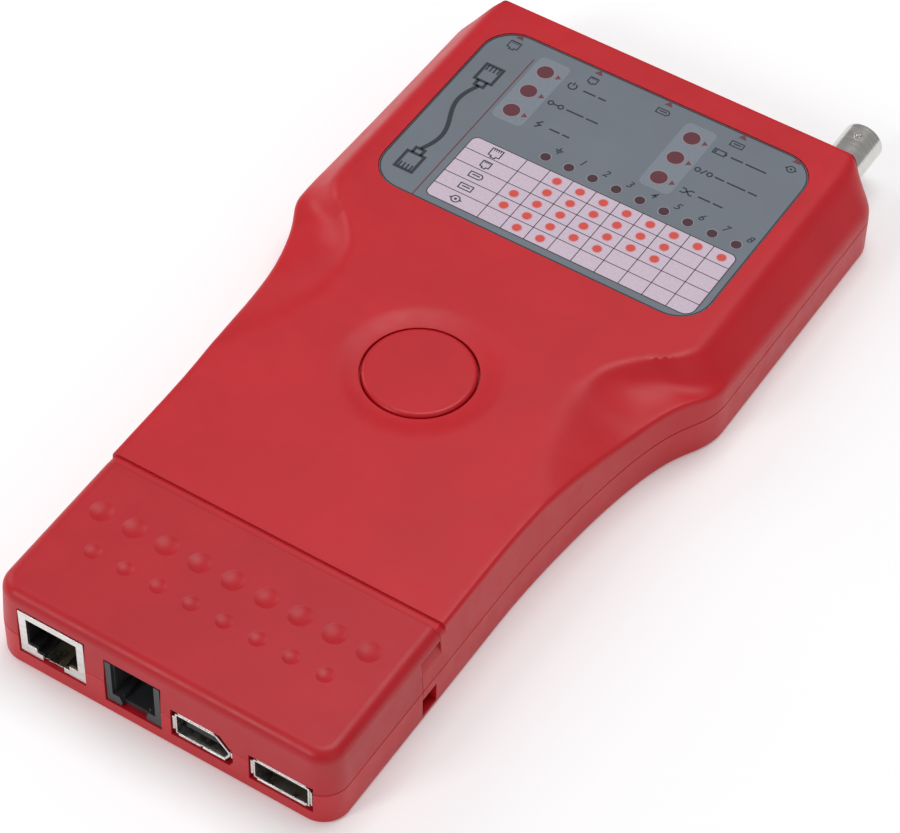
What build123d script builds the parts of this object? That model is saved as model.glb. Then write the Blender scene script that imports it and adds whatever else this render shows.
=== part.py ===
"""Pocket network cable tester: a main unit, and a detachable remote unit that
slides off its near end.  Millimetres, +Z up, the label faces +Z.  The origin is
the centre of the footprint on the surface that the tester lies on.  Y runs from
the remote unit (near end, -Y) to the coaxial connector (far end, +Y).
"""
import os

from build123d import *

os.makedirs("parts", exist_ok=True)

# ---- driving dimensions --------------------------------------------------
total_length = 216.0        # near face to the rim of the coaxial connector
body_length = 200.5         # near face to far face of the plastic body
neck_half = 41.1            # half width of the neck and the remote unit
head_half = 53.8            # half width of the head
top_z = 21.3                # height of the flat top
seam_z = 9.4                # parting line between upper and lower shells
wall = 2.0                  # shell wall
floor = 1.8                 # bottom wall
seam_bevel = 0.2            # each shell's half of the V-shaped seam
draft = 0.7                 # how far the remote's upper walls lean in by the top
near_corner = 6.0           # vertical corner radius at the near end
far_corner = 7.8            # vertical corner radius at the far end

split_d = 32.4              # near end to the joint between the two units
lip_end_d = 39.2            # near end to the rear edge of the remote's top lip
deck_d = 41.3               # near end to the start of the main unit's top
lip_z = 18.4                # underside of the overlapping top lip
unit_gap = 0.15             # clearance between the two units

button_d = 94.3
button_r = 12.3
dish_r = 17.6

label_width, label_length = 83.0, 56.5
label_d = 164.65            # near end to the centre of the label
label_corner = 8.0
label_recess = 0.6
label_thickness = 0.35

board_top = 3.7             # upper side of both main circuit boards
board_thickness = 1.6


def y_at(d):
    """Row-frame Y of a distance measured from the near face."""
    return d - total_length / 2


def save(builder, name):
    builder.part.label = name
    export_step(builder.part, f"parts/{name}.step")


# ---- plan outlines -------------------------------------------------------
def main_outline(inset=0.0, start_d=split_d):
    """Main unit in plan: straight neck, S-curved shoulders, wider head."""
    neck, head = neck_half - inset, head_half - inset
    start, end = y_at(start_d + inset), y_at(body_length - inset)
    corner = far_corner - inset
    with BuildSketch() as outline:
        with BuildLine():
            bottom = Line((0, start), (neck, start))
            side = Line(bottom @ 1, (neck, y_at(60)))
            shoulder = Spline(
                side @ 1,
                (neck + 1.5, y_at(87)),
                (neck + 4.3, y_at(106)),
                (neck + 8.6, y_at(119.5)),
                (head, y_at(131)),
                tangents=((0, 1), (0, 1)),
            )
            flank = Line(shoulder @ 1, (head, end - corner))
            turn = RadiusArc(flank @ 1, (head - corner, end), -corner)
            Line(turn @ 1, (0, end))
            mirror(about=Plane.YZ)
        make_face()
    return outline.sketch


def remote_outline(inset=0.0, end_d=split_d - unit_gap):
    """Remote unit in plan: a rectangle with two rounded near corners."""
    half = neck_half - inset
    start, end = y_at(inset), y_at(end_d - inset)
    radius = near_corner - inset
    with BuildSketch() as outline:
        with BuildLine():
            back = Line((0, end), (half, end))
            side = Line(back @ 1, (half, start + radius))
            turn = RadiusArc(side @ 1, (half - radius, start), radius)
            Line(turn @ 1, (0, start))
            mirror(about=Plane.YZ)
        make_face()
    return outline.sketch


# ---- side relief of the top: scooped shoulders and sloping flanks --------
# distance from the near end, where the slope starts, how steep it is, and
# how long the softened corner is on each side of that knee
relief_stations = (
    (66, 44.5, 0.30, 1.0),
    (80, 39.5, 0.20, 1.0),
    (96, 33.5, 0.27, 1.0),
    (108, 32.0, 0.31, 0.8),
    (116, 33.5, 0.30, 0.4),
    (123, 38.9, 0.42, 0.4),
    (129, 44.5, 0.78, 0.5),
    (134, 47.0, 1.15, 1.2),
    (140, 47.4, 1.32, 2.5),
)
lead_in = 0.12              # slope of the narrow band before the knee
lead_width = 8.0
reach_x = 62.0              # relief sections run out past the side walls


def relief_section(d, knee_x, slope, soft):
    """Closed section above the relieved surface, at one distance d."""
    knee_z = top_z - 2 * lead_in
    run = soft / (1 + slope**2) ** 0.5
    plane = Plane(origin=(0, y_at(d), 0), x_dir=(1, 0, 0), z_dir=(0, -1, 0))
    with BuildSketch(plane) as section:
        with BuildLine():
            Polyline(
                (knee_x - lead_width, knee_z + lead_width * lead_in),
                (knee_x - soft, knee_z + soft * lead_in),
                (knee_x + run, knee_z - slope * run),
                (reach_x, knee_z - slope * (reach_x - knee_x)),
                (reach_x, top_z + 6),
                (knee_x - lead_width, top_z + 6),
                close=True,
            )
        make_face()
    return section.sketch


with BuildPart() as side_relief:
    loft([relief_section(*station) for station in relief_stations])
    extrude(relief_section(*relief_stations[-1]), amount=-(body_length - 130))
    mirror(about=Plane.YZ)


# ---- port positions ------------------------------------------------------
# each port: x of its centre, z of its underside
near_ports = {"rj45": (-26.1, 4.5), "rj11": (-6.3, 3.7), "firewire": (10.3, 4.9), "usb": (29.0, 4.45)}
far_ports = {"rj45": (-34.5, 4.5), "rj11": (-14.7, 3.7), "firewire": (3.5, 4.9), "usb": (22.5, 4.45)}
coax_x, coax_z = 41.0, 10.4

rj45_width, rj45_height, rj45_depth = 16.0, 12.85, 15.5
rj11_width, rj11_height, rj11_depth = 13.2, 12.3, 14.0
usb_width, usb_height, usb_depth = 13.1, 5.7, 14.0
firewire_width, firewire_height, firewire_depth = 12.9, 6.2, 13.5
sheet = 0.35                # sheet metal of the connector shells
lip = 0.7                   # flared lips at the mouths of the metal shells
recess = 0.3                # ports sit this far behind the end faces
port_gap = 0.25             # clearance of each port in its cut-out
coax_r = 4.83


def near_plane(name):
    x, z = near_ports[name]
    return Plane(origin=(x, y_at(recess), z), x_dir=(1, 0, 0), z_dir=(0, -1, 0))


def far_plane(name):
    x, z = far_ports[name]
    return Plane(origin=(x, y_at(body_length - recess), z), x_dir=(-1, 0, 0), z_dir=(0, 1, 0))


def stepped_mouth(steps):
    """Mouth of a modular jack: mirrored steps of (half width, height)."""
    with BuildSketch() as mouth:
        with BuildLine():
            Polyline((0, steps[0][1]), *steps, (0, steps[-1][1]))
            mirror(about=Plane.YZ)
        make_face()
    return mouth.sketch


rj45_mouth = stepped_mouth(
    ((6.2, 11.0), (6.2, 2.95), (4.0, 2.95), (4.0, 1.6), (2.6, 1.6), (2.6, -0.1))
)
rj11_mouth = stepped_mouth(
    ((5.2, 12.4), (5.2, 2.6), (3.5, 2.6), (3.0, 1.3), (3.0, -0.1))
)


def firewire_outline(grow=0.0):
    """Six-way port in section: a rectangle with two corners cut at one end."""
    half, top, low = firewire_width / 2 + grow, firewire_height + grow, -grow
    with BuildSketch() as outline:
        with BuildLine():
            Polyline(
                (-half, low), (half - 1.0, low), (half, low + 1.6), (half, top - 3.2),
                (half - 3.0, top), (-half, top), close=True,
            )
        make_face()
    return outline.sketch


def build_rj45(prefix, plane):
    middle = rj45_height / 2
    inner_w, inner_h = rj45_width - 2 * sheet, rj45_height - 2 * sheet
    with BuildPart() as shield:
        with BuildSketch(plane):
            with Locations((0, middle)):
                Rectangle(rj45_width, rj45_height)
        extrude(amount=-rj45_depth)
        with BuildSketch(plane.offset(-0.6)):
            with Locations((0, middle)):
                Rectangle(inner_w, inner_h)
        extrude(amount=-rj45_depth, mode=Mode.SUBTRACT)
        with BuildSketch(plane):
            add(rj45_mouth)
        extrude(amount=-0.6, mode=Mode.SUBTRACT)
    save(shield, f"{prefix}_rj45_shield")

    with BuildPart() as insert:
        with BuildSketch(plane.offset(-0.65)):
            with Locations((0, middle)):
                Rectangle(inner_w - 0.06, inner_h - 0.06)
        extrude(amount=-(rj45_depth - 0.7))
        with BuildSketch(plane.offset(-0.65)):
            add(rj45_mouth)
        extrude(amount=-11.5, mode=Mode.SUBTRACT)
    save(insert, f"{prefix}_rj45_insert")

    with BuildPart() as contacts:
        for index in range(8):
            x = (index - 3.5) * 1.02
            side = Plane(plane.location * Location((x - 0.22, 0, 0), (0, 90, 0)))
            with BuildSketch(side):
                with BuildLine():
                    Polyline((3.0, 10.95), (3.6, 10.95), (10.5, 7.7), (10.5, 7.3), close=True)
                make_face()
            extrude(amount=0.44)
    save(contacts, f"{prefix}_rj45_contacts")


def build_rj11(prefix, plane):
    with BuildPart() as housing:
        with BuildSketch(plane):
            with Locations((0, rj11_height / 2)):
                Rectangle(rj11_width, rj11_height)
        extrude(amount=-rj11_depth)
        with BuildSketch(plane):
            add(rj11_mouth)
        extrude(amount=-1.0, mode=Mode.SUBTRACT)
        with BuildSketch(plane.offset(-1.0)):
            with Locations((0, (2.0 + rj11_height - 1.2) / 2 + 0.3)):
                Rectangle(10.0, rj11_height - 1.2 - 2.6)
            with Locations((0, 2.0)):
                Rectangle(6.0, 1.4)
        extrude(amount=-10.0, mode=Mode.SUBTRACT)
    save(housing, f"{prefix}_rj11_housing")

    with BuildPart() as contacts:
        for index in range(6):
            x = (index - 2.5) * 1.02
            side = Plane(plane.location * Location((x - 0.2, 0, 0), (0, 90, 0)))
            with BuildSketch(side):
                with BuildLine():
                    Polyline(
                        (2.0, 11.05), (2.6, 11.05), (9.2, 7.7), (10.9, 7.7), (10.9, 3.2),
                        (10.4, 3.2), (10.4, 7.3), (9.0, 7.3), close=True,
                    )
                make_face()
            extrude(amount=0.4)
    save(contacts, f"{prefix}_rj11_contacts")


def flared_lip(plane, x, y, length, out):
    """Lip bent out of a shell's wall at (x, y), where out is the way it leans in the plane."""
    turn = {(0, 1): 0, (-1, 0): 90, (0, -1): 180, (1, 0): 270}[out]
    along = Plane(plane.location * Location((x, y, 0), (0, 0, turn)) * Location((-length / 2, 0, 0), (0, 90, 0)))
    with BuildPart() as flare:
        with BuildSketch(along):
            with BuildLine():
                Polyline((1.1, -0.15), (0, lip), (0, lip - sheet), (0.45, -0.15), close=True)
            make_face()
        extrude(amount=length)
    return flare.part


def build_usb(prefix, plane):
    middle = usb_height / 2
    with BuildPart() as shell:
        with BuildSketch(plane):
            with Locations((0, middle)):
                Rectangle(usb_width, usb_height)
                Rectangle(usb_width - 2 * sheet, usb_height - 2 * sheet, mode=Mode.SUBTRACT)
        extrude(amount=-usb_depth)
        add(flared_lip(plane, 0, usb_height, usb_width - 1.6, (0, 1)))
        add(flared_lip(plane, 0, 0, usb_width - 1.6, (0, -1)))
        add(flared_lip(plane, -usb_width / 2, middle, usb_height - 1.4, (-1, 0)))
        add(flared_lip(plane, usb_width / 2, middle, usb_height - 1.4, (1, 0)))
    save(shell, f"{prefix}_usb_shell")

    with BuildPart() as tongue:
        with BuildSketch(plane.offset(-1.2)):
            with Locations((0, usb_height - sheet - 1.55)):
                Rectangle(11.1, 1.8)
        extrude(amount=-(usb_depth - 3.0))
        with BuildSketch(plane.offset(-10.5)):
            with Locations((0, middle)):
                Rectangle(usb_width - 2 * sheet - 0.06, usb_height - 2 * sheet - 0.06)
        extrude(amount=-3.4)
    save(tongue, f"{prefix}_usb_tongue")

    with BuildPart() as contacts:
        with BuildSketch(plane.offset(-2.0)):
            with GridLocations(2.3, 1, 4, 1):
                with Locations((0, usb_height - sheet - 2.45 - 0.15)):
                    Rectangle(1.0, 0.3)
        extrude(amount=-8.0)
    save(contacts, f"{prefix}_usb_contacts")


def build_firewire(prefix, plane):
    middle = firewire_height / 2
    with BuildPart() as shell:
        with BuildSketch(plane):
            add(firewire_outline())
            add(firewire_outline(-sheet), mode=Mode.SUBTRACT)
        extrude(amount=-firewire_depth)
        add(flared_lip(plane, -1.5, firewire_height, 8.6, (0, 1)))
        add(flared_lip(plane, -3.2, 0, 5.3, (0, -1)))
        add(flared_lip(plane, 2.6, 0, 5.3, (0, -1)))
        add(flared_lip(plane, -firewire_width / 2, middle, firewire_height - 2.0, (-1, 0)))
        add(flared_lip(plane, firewire_width / 2, 2.3, 1.4, (1, 0)))
    save(shell, f"{prefix}_firewire_shell")

    with BuildPart() as tongue:
        with BuildSketch(plane.offset(-1.4)):
            with Locations((-0.6, middle - 0.2)):
                Rectangle(8.2, 2.2)
        extrude(amount=-9.0)
        with BuildSketch(plane.offset(-10.0)):
            add(firewire_outline(-sheet - 0.03))
        extrude(amount=-3.4)
    save(tongue, f"{prefix}_firewire_tongue")

    with BuildPart() as contacts:
        with BuildSketch(plane.offset(-2.2)):
            for y in (middle - 0.2 + 1.25, middle - 0.2 - 1.25):
                for x in (-3.0, -0.6, 1.8):
                    with Locations((x, y)):
                        Rectangle(0.9, 0.3)
        extrude(amount=-7.5)
    save(contacts, f"{prefix}_firewire_contacts")


for prefix, port_plane in (("near", near_plane), ("far", far_plane)):
    build_rj45(prefix, port_plane("rj45"))
    build_rj11(prefix, port_plane("rj11"))
    build_usb(prefix, port_plane("usb"))
    build_firewire(prefix, port_plane("firewire"))


def build_cutouts(port_plane):
    """Cut-outs of one end wall for its four ports."""
    with BuildPart() as cutouts:
        for name, width, height in (
            ("rj45", rj45_width, rj45_height),
            ("rj11", rj11_width, rj11_height),
        ):
            with BuildSketch(port_plane(name).offset(3)):
                with Locations((0, height / 2)):
                    Rectangle(width + 2 * port_gap, height + 2 * port_gap)
            extrude(amount=-10)
        with BuildSketch(port_plane("usb").offset(3)):
            with Locations((0, usb_height / 2)):
                Rectangle(usb_width + 2 * (lip + port_gap), usb_height + 2 * (lip + port_gap))
        extrude(amount=-10)
        with BuildSketch(port_plane("firewire").offset(3)):
            add(firewire_outline(lip + port_gap))
        extrude(amount=-10)
    return cutouts.part


near_cutouts = build_cutouts(near_plane)
far_cutouts = build_cutouts(far_plane)


# ---- coaxial connector ---------------------------------------------------
def coax_plane(d):
    return Plane(origin=(coax_x, y_at(d), coax_z), x_dir=(-1, 0, 0), z_dir=(0, 1, 0))


coax_start, coax_end = 193.0, total_length
with BuildPart() as coax_body:
    with BuildSketch(coax_plane(coax_start)):
        Circle(4.6)
    extrude(amount=body_length + 0.1 - coax_start)
    with BuildSketch(coax_plane(body_length + 0.1)):
        Circle(coax_r)
    extrude(amount=coax_end - body_length - 0.1)
    chamfer(coax_body.edges().sort_by(Axis.Y)[-1], 0.5)
    with BuildSketch(coax_plane(body_length + 1.4)):
        Circle(coax_r)
        Circle(4.35, mode=Mode.SUBTRACT)
    extrude(amount=0.8, mode=Mode.SUBTRACT)
    with BuildSketch(coax_plane(coax_end)):
        Circle(4.05)
    extrude(amount=-8.5, mode=Mode.SUBTRACT)
    with BuildSketch(coax_plane(coax_start)):
        Circle(2.5)
    extrude(amount=coax_end - coax_start, mode=Mode.SUBTRACT)
    for side in (-1, 1):
        lug = Plane(origin=(coax_x, y_at(total_length - 3.8), coax_z), x_dir=(0, 1, 0), z_dir=(0, 0, side))
        with BuildSketch(lug.offset(4.3)):
            Circle(1.0)
        extrude(amount=1.25)
save(coax_body, "coax_body")

with BuildPart() as coax_insulator:
    with BuildSketch(coax_plane(coax_start + 0.5)):
        Circle(2.45)
        Circle(0.75, mode=Mode.SUBTRACT)
    extrude(amount=18.5)
save(coax_insulator, "coax_insulator")

with BuildPart() as coax_contact:
    with BuildSketch(coax_plane(coax_start - 2.0)):
        Circle(0.7)
    extrude(amount=20.5)
    with BuildSketch(coax_plane(coax_start + 18.5)):
        Circle(0.45)
    extrude(amount=-4, mode=Mode.SUBTRACT)
save(coax_contact, "coax_contact")

with BuildPart() as coax_nut:
    with BuildSketch(coax_plane(body_length - wall - 2.3)):
        RegularPolygon(radius=6.6, side_count=6, major_radius=False)
        Circle(4.65, mode=Mode.SUBTRACT)
    extrude(amount=2.25)
save(coax_nut, "coax_nut")

with BuildPart() as coax_hole:
    with BuildSketch(coax_plane(body_length - 5)):
        Circle(4.95)
    extrude(amount=8)
    with BuildSketch(coax_plane(coax_start - 3)):
        Circle(8.4)
    extrude(amount=body_length - wall - coax_start + 3)


# ---- main unit shells ----------------------------------------------------
neck_screw_spots = ((-34.5, 53), (34.5, 53))
head_screw_spots = ((-47.3, 172), (47.3, 172))
main_screw_spots = neck_screw_spots + head_screw_spots
remote_screw_spots = ((-37.0, 24), (37.0, 24))
boss_r = 3.2


def spots_at(z, spots):
    return [Location((x, y_at(d), z)) for x, d in spots]


# windows in the deck over the light-emitting diodes
big_led_x, big_led_d = (-25.05, 13.05), (185.2, 178.0, 170.75)
small_led_xs = [-11.0 + 6.04 * index for index in range(9)]
small_led_d = 162.4
big_led_spots = [(x, d) for x in big_led_x for d in big_led_d]
small_led_spots = [(x, small_led_d) for x in small_led_xs]
label_z = top_z - label_recess

with BuildPart() as main_upper_shell:
    with BuildSketch(Plane.XY.offset(seam_z)):
        add(main_outline())
    extrude(amount=top_z - seam_z)
    rim = main_upper_shell.faces().sort_by(Axis.Z)[0].outer_wire().edges()
    chamfer(rim, seam_bevel)
    top_edges = main_upper_shell.faces().sort_by(Axis.Z)[-1].outer_wire().edges()
    fillet(top_edges.filter_by(lambda e: e.center().Y > y_at(split_d + 1)), 1.0)
    add(side_relief.part, mode=Mode.SUBTRACT)
    # low tongue under the remote's lip, then a narrow lower strip
    with BuildSketch(Plane.XY.offset(lip_z - unit_gap)):
        with Locations((0, y_at(lip_end_d + unit_gap) - 10)):
            Rectangle(120, 20)
    extrude(amount=10, mode=Mode.SUBTRACT)
    with BuildSketch(Plane.XY.offset(top_z - 0.7)):
        with Locations((0, y_at(deck_d) - 5)):
            Rectangle(120, 10)
    extrude(amount=10, mode=Mode.SUBTRACT)
    # hollow inside: wide at the seam, narrower under the relieved sides
    with BuildSketch(Plane.XY.offset(seam_z)):
        add(main_outline(wall))
    extrude(amount=2.6, mode=Mode.SUBTRACT)
    with BuildSketch(Plane.XY.offset(seam_z)):
        with BuildLine():
            Polyline(
                (0, y_at(43.5)), (38.6, y_at(43.5)), (38.6, y_at(66)), (30.5, y_at(84)),
                (30.5, y_at(124)), (44.3, y_at(140)), (44.3, y_at(body_length - wall)),
                (0, y_at(body_length - wall)),
            )
            mirror(about=Plane.YZ)
        make_face()
    extrude(amount=top_z - wall - seam_z, mode=Mode.SUBTRACT)
    # screw bosses and the guide ring of the button
    for spots, height in ((neck_screw_spots, top_z - wall - seam_z + 0.1), (head_screw_spots, 6.0)):
        with BuildSketch(Plane.XY.offset(seam_z)):
            with Locations(spots_at(0, spots)):
                Circle(boss_r)
        extrude(amount=height)
    with BuildSketch(Plane.XY.offset(16)):
        with Locations((0, y_at(button_d))):
            Circle(16.0)
            Circle(14.5, mode=Mode.SUBTRACT)
    extrude(amount=4)
    with BuildSketch(Plane.XY.offset(seam_z)):
        with Locations(spots_at(0, main_screw_spots)):
            Circle(1.15)
    extrude(amount=5.5, mode=Mode.SUBTRACT)
    # button hole in a shallow dish
    with BuildSketch(Plane.XY.offset(15)):
        with Locations((0, y_at(button_d))):
            Circle(button_r + 0.45)
    extrude(amount=10, mode=Mode.SUBTRACT)
    dish_plane = Plane(origin=(0, y_at(button_d), 0), x_dir=(1, 0, 0), z_dir=(0, -1, 0))
    with BuildSketch(dish_plane):
        with BuildLine():
            Polyline(
                (0, top_z + 2), (dish_r + 0.5, top_z + 2), (dish_r + 0.5, top_z + 0.05),
                (dish_r, top_z), (button_r + 1.5, top_z - 0.75), (0, top_z - 0.95), close=True,
            )
        make_face()
    revolve(axis=Axis((0, y_at(button_d), 0), (0, 0, 1)), mode=Mode.SUBTRACT)
    # label recess with its light windows
    with BuildSketch(Plane.XY.offset(label_z)):
        with Locations((0, y_at(label_d))):
            RectangleRounded(label_width + 0.3, label_length + 0.3, label_corner)
    extrude(amount=5, mode=Mode.SUBTRACT)
    with BuildSketch(Plane.XY.offset(15)):
        with Locations(spots_at(0, big_led_spots)):
            Circle(1.8)
        with Locations(spots_at(0, small_led_spots)):
            Circle(1.1)
    extrude(amount=10, mode=Mode.SUBTRACT)
    add(far_cutouts, mode=Mode.SUBTRACT)
    add(coax_hole.part, mode=Mode.SUBTRACT)
save(main_upper_shell, "main_upper_shell")

door_half, door_start_d, door_end_d, door_gap = 28.0, 45.7, 75.3, 0.2
hook_x, hook_thick = 38.4, 1.6          # remote's side hooks, in the main unit's slots
pad_spots = ((-24, 84), (24, 84), (-36, 150), (36, 150))

with BuildPart() as main_lower_shell:
    with BuildSketch():
        add(main_outline())
    extrude(amount=seam_z)
    chamfer(main_lower_shell.faces().sort_by(Axis.Z)[-1].outer_wire().edges(), seam_bevel)
    bottom_rim = main_lower_shell.faces().sort_by(Axis.Z)[0].outer_wire().edges()
    fillet(bottom_rim.filter_by(lambda e: e.center().Y > y_at(40)), 0.8)
    with BuildSketch(Plane.XY.offset(floor)):
        add(main_outline(wall))
    extrude(amount=seam_z, mode=Mode.SUBTRACT)
    # screw bosses, with the heads sunk from below
    with BuildSketch(Plane.XY.offset(floor)):
        with Locations(spots_at(0, main_screw_spots)):
            Circle(boss_r + 0.8)
    extrude(amount=seam_z - floor)
    with BuildSketch(Plane.XY.offset(floor)):
        with Locations(spots_at(0, pad_spots)):
            Circle(2.5)
    extrude(amount=board_top - board_thickness - floor)
    with Locations(spots_at(0, main_screw_spots)):
        with Locations(Location((0, 0, 0), (180, 0, 0))):
            CounterBoreHole(radius=1.35, counter_bore_radius=2.9, counter_bore_depth=3.0, depth=12)
    # battery opening
    with BuildSketch():
        with Locations((0, y_at((door_start_d + door_end_d) / 2))):
            Rectangle(2 * (door_half + door_gap), door_end_d - door_start_d + 2 * door_gap)
    extrude(amount=floor, mode=Mode.SUBTRACT)
    # slots for the remote's hooks, open to the sides
    for side in (-1, 1):
        with BuildSketch(Plane.XY.offset(1.4)):
            with Locations((side * 39.9, y_at((split_d - 1 + 37.3) / 2))):
                Rectangle(5.4, 37.3 - split_d + 1)
        extrude(amount=5.4, mode=Mode.SUBTRACT)
    add(far_cutouts, mode=Mode.SUBTRACT)
    add(coax_hole.part, mode=Mode.SUBTRACT)
save(main_lower_shell, "main_lower_shell")

with BuildPart() as battery_door:
    with BuildSketch(Plane.XY.offset(0.05)):
        with Locations((0, y_at((door_start_d + door_end_d) / 2))):
            Rectangle(2 * door_half, door_end_d - door_start_d)
    extrude(amount=floor - 0.05)
    # two tabs that hook over the edge of the opening
    with BuildSketch(Plane.XY.offset(floor)):
        for x in (-18, 18):
            with Locations((x, y_at(door_start_d + 1.0))):
                Rectangle(8, 2.0)
    extrude(amount=1.1)
    with BuildSketch(Plane.XY.offset(floor + 0.1)):
        for x in (-18, 18):
            with Locations((x, y_at(door_start_d - 0.1))):
                Rectangle(8, 2.2)
    extrude(amount=1.0)
    # finger notch and grip grooves
    with BuildSketch():
        with Locations((0, y_at(door_end_d))):
            Rectangle(14, 4.0)
    extrude(amount=1.0, mode=Mode.SUBTRACT)
    with BuildSketch():
        for index in range(4):
            with Locations((0, y_at(door_end_d - 5 - 1.8 * index))):
                SlotOverall(16, 0.8)
    extrude(amount=0.4, mode=Mode.SUBTRACT)
save(battery_door, "battery_door")


# ---- battery -------------------------------------------------------------
battery_x0, battery_x1, battery_d0, battery_d1 = -26.0, 22.4, 48.5, 75.0
battery_z0, battery_z1 = 2.1, 19.0
battery_mid_d = (battery_d0 + battery_d1) / 2
battery_mid_z = (battery_z0 + battery_z1) / 2
snap_plane = Plane(origin=(battery_x1, y_at(battery_mid_d), battery_mid_z), x_dir=(0, 1, 0), z_dir=(1, 0, 0))

with BuildPart() as battery:
    with BuildSketch(Plane.XY.offset(battery_z0)):
        with Locations(((battery_x0 + battery_x1) / 2, y_at(battery_mid_d))):
            Rectangle(battery_x1 - battery_x0, battery_d1 - battery_d0)
    extrude(amount=battery_z1 - battery_z0)
    fillet(battery.edges().filter_by(Axis.X), 2.0)
    with BuildSketch(snap_plane):
        with Locations((-6.35, 0)):
            Circle(2.9)
        with Locations((6.35, 0)):
            RegularPolygon(radius=4.0, side_count=6)
            Circle(2.6, mode=Mode.SUBTRACT)
    extrude(amount=2.2)
save(battery, "battery_9v")

with BuildPart() as snap:
    with BuildSketch(snap_plane.offset(2.4)):
        RectangleRounded(24, 11, 2.5)
    extrude(amount=2.2)
    with BuildSketch(snap_plane.offset(0.3)):
        with Locations((-6.35, 0)):
            Circle(4.3)
            Circle(3.05, mode=Mode.SUBTRACT)
        with Locations((6.35, 0)):
            Circle(2.3)
    extrude(amount=2.1)
save(snap, "battery_snap")

lead_r = 0.75
snap_back = battery_x1 + 4.6
for name, x, d_out, d_in in (("red", 32.6, 57.0, 83.0), ("black", 30.6, 66.0, 80.0)):
    with BuildPart() as lead:
        with BuildLine() as route:
            FilletPolyline(
                (snap_back, y_at(d_out), 10.5),
                (x, y_at(d_out), 10.5),
                (x, y_at(d_in), 10.5),
                (x, y_at(d_in), board_top),
                radius=2.4,
            )
        with BuildSketch(Plane(origin=route.line @ 0, z_dir=route.line % 0)):
            Circle(lead_r)
        sweep()
    save(lead, f"battery_lead_{name}")


# ---- electronics of the main unit ----------------------------------------
board_z = board_top - board_thickness
with BuildPart() as main_board:
    with BuildSketch(Plane.XY.offset(board_z)):
        with BuildLine():
            Polyline(
                (0, y_at(77)), (34, y_at(77)), (34, y_at(124)), (42, y_at(138)),
                (42, y_at(195.5)), (0, y_at(195.5)),
            )
            mirror(about=Plane.YZ)
        make_face()
    extrude(amount=board_thickness)
save(main_board, "main_board")

display_z = 17.45
with BuildPart() as display_board:
    with BuildSketch(Plane.XY.offset(display_z)):
        with Locations((0, y_at(167.5))):
            Rectangle(80, 52)
    extrude(amount=0.8)
save(display_board, "display_board")

led_z = display_z + 0.8
with BuildPart() as mode_leds:
    with BuildSketch(Plane.XY.offset(led_z)):
        with Locations(spots_at(0, big_led_spots)):
            Circle(1.5)
    extrude(amount=2.1)
    fillet(mode_leds.faces().filter_by(Axis.Z).sort_by(Axis.Z)[-6:].edges(), 0.7)
save(mode_leds, "mode_leds")

with BuildPart() as wire_leds:
    with BuildSketch(Plane.XY.offset(led_z)):
        with Locations(spots_at(0, small_led_spots)):
            Circle(0.9)
    extrude(amount=2.1)
    fillet(wire_leds.faces().filter_by(Axis.Z).sort_by(Axis.Z)[-9:].edges(), 0.5)
save(wire_leds, "wire_leds")

with BuildPart() as board_headers:
    with BuildSketch(Plane.XY.offset(board_top)):
        for x in (-38.5, 38.5):
            with Locations((x, y_at(160))):
                Rectangle(2.5, 20)
    extrude(amount=display_z - board_top)
save(board_headers, "board_headers")


def build_chips(name, width, length, pins, spots):
    """Small-outline chips: each a body with two rows of leads, in one solid."""
    with BuildPart() as chips:
        with BuildSketch(Plane.XY.offset(board_top + 0.15)):
            with Locations(spots_at(0, spots)):
                Rectangle(width, length)
        extrude(amount=1.6)
        with BuildSketch(Plane.XY.offset(board_top)):
            with Locations(spots_at(0, spots)):
                with GridLocations(width + 1.2, 1.27, 2, pins // 2):
                    Rectangle(1.4, 0.45)
        extrude(amount=0.5)
    save(chips, name)


build_chips("controller_chip", 7.5, 18, 28, [(0, 122)])
build_chips("driver_chips", 4.0, 10.4, 16, [(-24, 148), (24, 148)])

with BuildPart() as label_plate:
    with BuildSketch(Plane.XY.offset(label_z)):
        with Locations((0, y_at(label_d))):
            RectangleRounded(label_width, label_length, label_corner)
    extrude(amount=label_thickness)
save(label_plate, "label_plate")


# ---- test button and its switch ------------------------------------------
with BuildPart() as test_button:
    with BuildSketch(Plane.XY.offset(18.0)):
        with Locations((0, y_at(button_d))):
            Circle(button_r)
    extrude(amount=3.1)
    rim = test_button.faces().sort_by(Axis.Z)[-1].edges()
    fillet(rim, 0.9)
    with BuildSketch(Plane.XY.offset(18.0)):
        with Locations((0, y_at(button_d))):
            Circle(14.2)
    extrude(amount=1.2)
    with BuildSketch(Plane.XY.offset(8.25)):
        with Locations((0, y_at(button_d))):
            Circle(2.6)
    extrude(amount=10)
save(test_button, "test_button")

with BuildPart() as switch_base:
    with BuildSketch(Plane.XY.offset(board_top)):
        with Locations((0, y_at(button_d))):
            Rectangle(6, 6)
    extrude(amount=3.5)
    with BuildSketch(Plane.XY.offset(board_top + 1.9)):
        with Locations((0, y_at(button_d))):
            Circle(1.85)
    extrude(amount=3, mode=Mode.SUBTRACT)
save(switch_base, "switch_base")

with BuildPart() as switch_plunger:
    with BuildSketch(Plane.XY.offset(board_top + 3.0)):
        with Locations((0, y_at(button_d))):
            Circle(1.75)
    extrude(amount=8.25 - board_top - 3.0)
save(switch_plunger, "switch_plunger")


# ---- remote unit ---------------------------------------------------------
big_dimple_xs = [8.06 * (index - 4) - 0.7 for index in range(9)]
small_dimple_xs = [7.97 * (index - 3.5) - 0.4 for index in range(8)]
rim_r = 2.8                 # rounded edge of the remote's top


def dimples(xs, d, width, depth):
    """Row of shallow spherical dimples in the top of the remote unit."""
    radius = ((width / 2) ** 2 + depth**2) / (2 * depth)
    with Locations([(x, y_at(d), top_z + radius - depth) for x in xs]):
        Sphere(radius, mode=Mode.SUBTRACT)


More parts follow.
